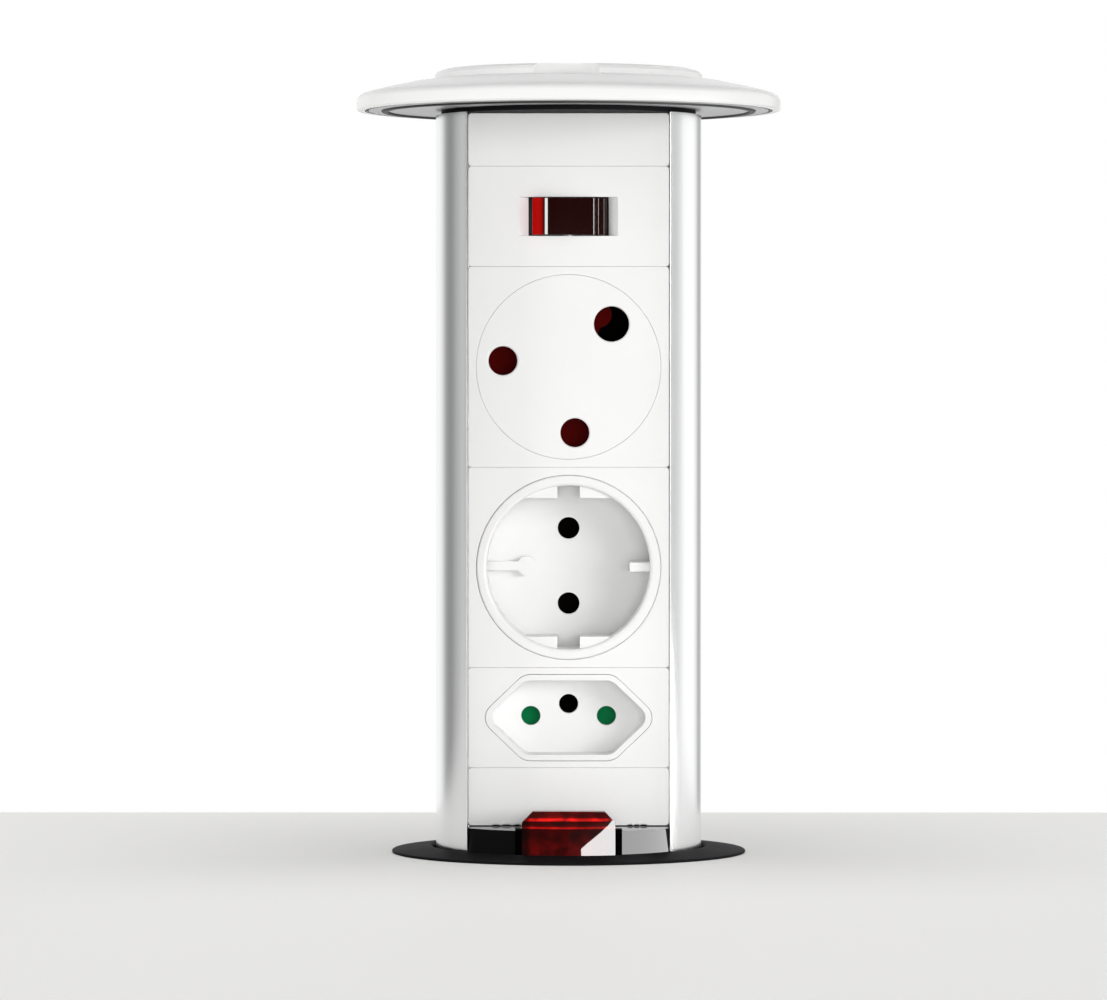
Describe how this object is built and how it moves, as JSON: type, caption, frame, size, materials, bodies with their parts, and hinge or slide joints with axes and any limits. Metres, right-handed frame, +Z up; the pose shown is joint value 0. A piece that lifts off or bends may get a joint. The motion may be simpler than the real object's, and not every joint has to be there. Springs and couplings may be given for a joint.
{
  "type": "pop up desk socket",
  "caption": "Round aluminium tower with a domed lid that rises through a desk collar and carries mains sockets, a rocker breaker and a release latch.",
  "frame": {"origin": "on the desk top, at the centre of the desk hole, on the axis of the tower", "axes": "+X right and +Z up as the sockets are faced, -Y to the front, so the tower slides along Z"},
  "size_m": [0.1066, 0.1066, 0.2726],
  "materials": {
    "black_satin": "satin moulded plastic",
    "pad_plastic": "low-friction plastic",
    "steel": "plain steel",
    "aluminium": "satin anodised",
    "grey_plastic": "matt",
    "rubber": "soft rubber",
    "white_lid": "fine satin",
    "white_insert": "satin",
    "dark_moulding": "moulded plastic",
    "brass": "plain brass",
    "rocker_red": "dark red, slightly clear, glossy",
    "shutter_red": "moulded plastic",
    "shutter_green": "moulded plastic",
    "pale_moulding": "moulded plastic",
    "black_gloss": "high gloss",
    "latch_red": "clear red plastic"
  },
  "bodies": {
    "collar": {"desk_collar": "black_satin", "guide_pads": "pad_plastic"},
    "tower": {"tower_profile": "aluminium", "top_cap": "black_satin", "lid_plate": "grey_plastic", "lid_seal": "rubber", "lid_screws": "steel", "lid_shell": "white_lid", "top_blank": "white_insert", "breaker_plate": "white_insert", "breaker_body": "dark_moulding", "breaker_blades": "brass", "rocker_pin": "steel", "three_pin_plate": "white_insert", "three_pin_disc": "white_insert", "three_pin_spring": "steel", "three_pin_housing": "pale_moulding", "three_pin_contacts": "brass", "well_plate": "white_insert", "well_cup": "white_insert", "side_earth_clips": "brass", "well_housing": "pale_moulding", "well_contacts": "brass", "hex_plate": "white_insert", "hex_cup": "white_insert", "hex_spring": "steel", "hex_housing": "pale_moulding", "hex_contacts": "brass", "bottom_blank": "white_insert", "live_bar": "brass", "neutral_bar": "brass", "earth_bar": "brass", "terminal_block": "pale_moulding", "terminal_screws": "steel", "lock_housing": "black_gloss", "latch_pin": "steel", "catch_spring": "steel", "lock_screws": "steel", "bottom_cap": "black_satin", "bottom_cap_screws": "steel", "gland_body": "dark_moulding", "gland_lock_nut": "dark_moulding", "gland_seal": "rubber", "gland_nut": "dark_moulding"},
    "nut": {"clamp_nut": "black_satin"},
    "washer": {"clamp_washer": "steel"},
    "rocker": {"breaker_rocker": "rocker_red"},
    "three_gate": {"three_pin_shutter": "shutter_red"},
    "hex_gate": {"hex_shutter": "shutter_green"},
    "latch": {"release_latch": "latch_red"}
  },
  "joints": [
    {"name": "tower_lift", "type": "slide", "parent": "collar", "child": "tower", "axis": [0, 0, 1], "range_m": [-0.184, 0], "deforming": ["catch_spring"]},
    {"name": "latch_press", "type": "hinge", "parent": "tower", "child": "latch", "pos_m": [0, -0.027, -0.03], "axis": [-1, 0, 0], "range_deg": [0, 7], "stiffness_Nm_per_rad": 1, "springref_deg": -6.88, "deforming": ["catch_spring"]},
    {"name": "rocker_tilt", "type": "hinge", "parent": "tower", "child": "rocker", "pos_m": [0, -0.0085, 0.1595], "axis": [0, 0, 1], "range_deg": [-12, 0]},
    {"name": "three_gate_turn", "type": "hinge", "parent": "tower", "child": "three_gate", "pos_m": [0, -0.0081, 0.122], "axis": [0, -1, 0], "range_deg": [0, 32], "stiffness_Nm_per_rad": 0.006, "springref_deg": -20.05, "deforming": ["three_pin_spring"]},
    {"name": "hex_gate_slide", "type": "slide", "parent": "tower", "child": "hex_gate", "axis": [0, 0, -1], "range_m": [0, 0.0058], "stiffness_N_per_m": 60, "springref_m": -0.003, "deforming": ["hex_spring"]},
    {"name": "washer_slide", "type": "slide", "parent": "collar", "child": "washer", "axis": [0, 0, 1], "range_m": [-0.0181, 0.0076]},
    {"name": "nut_turn", "type": "hinge", "parent": "washer", "child": "nut", "pos_m": [0, 0, -0.0335], "axis": [0, 0, 1], "range_deg": [-1620, 670]}
  ],
  "couplings": [
    {"joint": "washer_slide", "follows": "nut_turn", "m_per_rad": 0.00063662}
  ]
}
